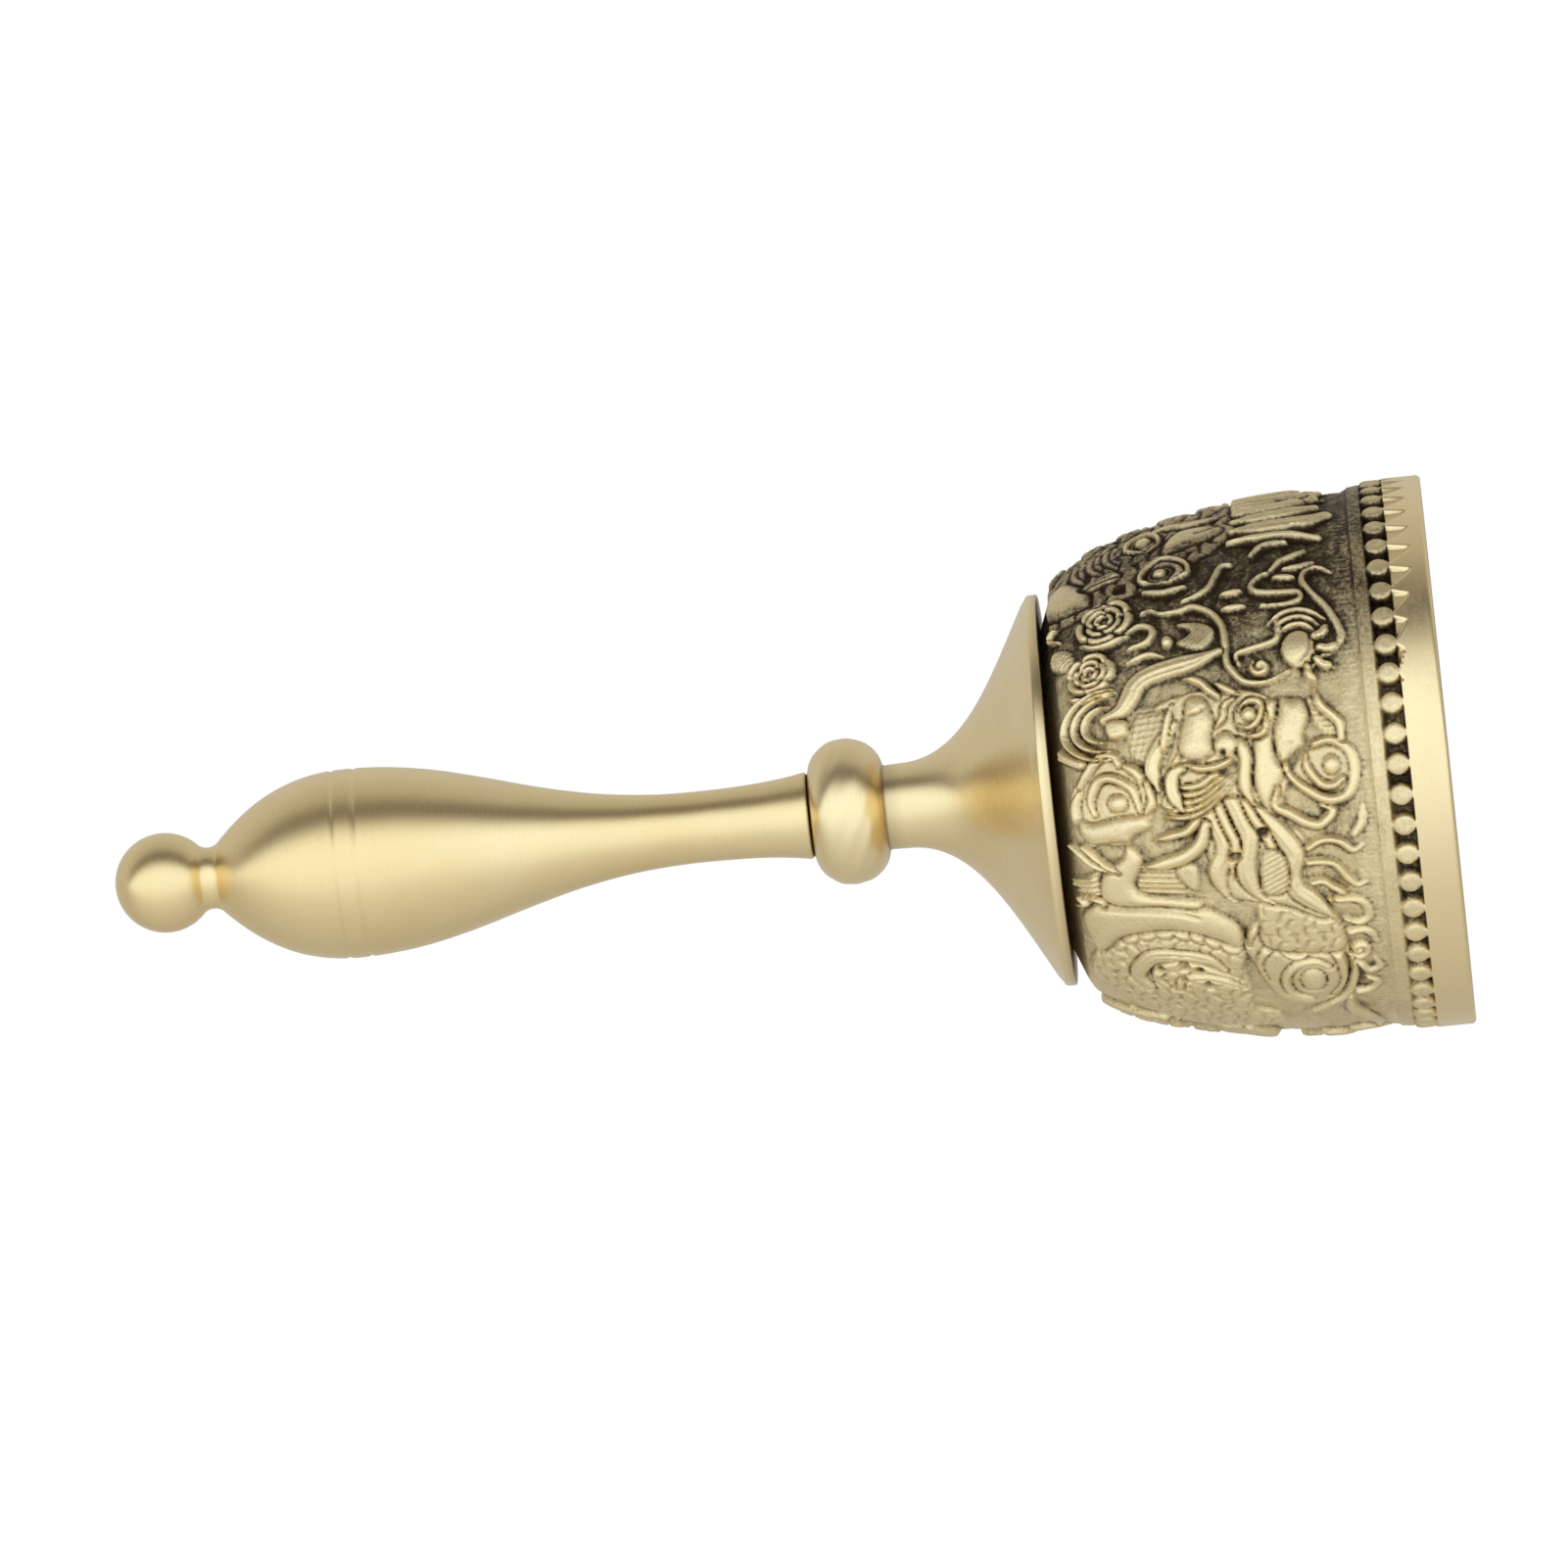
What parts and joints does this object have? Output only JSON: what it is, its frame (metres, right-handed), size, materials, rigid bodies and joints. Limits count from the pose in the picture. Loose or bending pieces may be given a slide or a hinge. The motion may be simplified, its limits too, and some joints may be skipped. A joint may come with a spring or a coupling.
{
  "type": "hand bell",
  "caption": "Small hand bell with a waisted turned grip, flared cap, relief-cast cup with a pearl row, and a ball clapper hung inside from a ring.",
  "frame": {"origin": "centre of the mouth, in the plane of the rim, so that the bell stands on its mouth at z = 0", "axes": "+Z along the bell's axis from the mouth to the finial ball; +X is the side of the rim whose band has the pointed notches; the first clapper pivot turns about X and the second about Y"},
  "size_m": [0.055, 0.055, 0.134],
  "materials": {
    "turned_brass": "turned and satin brushed, lightly toned",
    "cast_brass": "sand cast relief, brown patina in the recesses, rubbed bright on the high points",
    "fastener_brass": "plain drawn and turned",
    "clapper_brass": "turned, dulled",
    "spring_steel": "zinc plated"
  },
  "bodies": {
    "bell": {"handle_grip": "turned_brass", "handle_stud": "fastener_brass", "flared_cap": "turned_brass", "bell_cup": "cast_brass", "crown_washer": "fastener_brass", "spring_washer": "spring_steel", "hanger_nut": "fastener_brass", "eye_bolt": "fastener_brass"},
    "ring": {"clapper_ring": "fastener_brass"},
    "clapper": {"clapper_rod": "fastener_brass", "clapper_ball": "clapper_brass"}
  },
  "joints": [
    {"name": "ring_swing", "type": "hinge", "parent": "bell", "child": "ring", "pos_m": [0, 0, 0.0274], "axis": [1, 0, 0], "range_deg": [-55, 55]},
    {"name": "clapper_swing", "type": "hinge", "parent": "ring", "child": "clapper", "pos_m": [0, 0, 0.0238], "axis": [0, 1, 0], "range_deg": [-55, 55]}
  ]
}
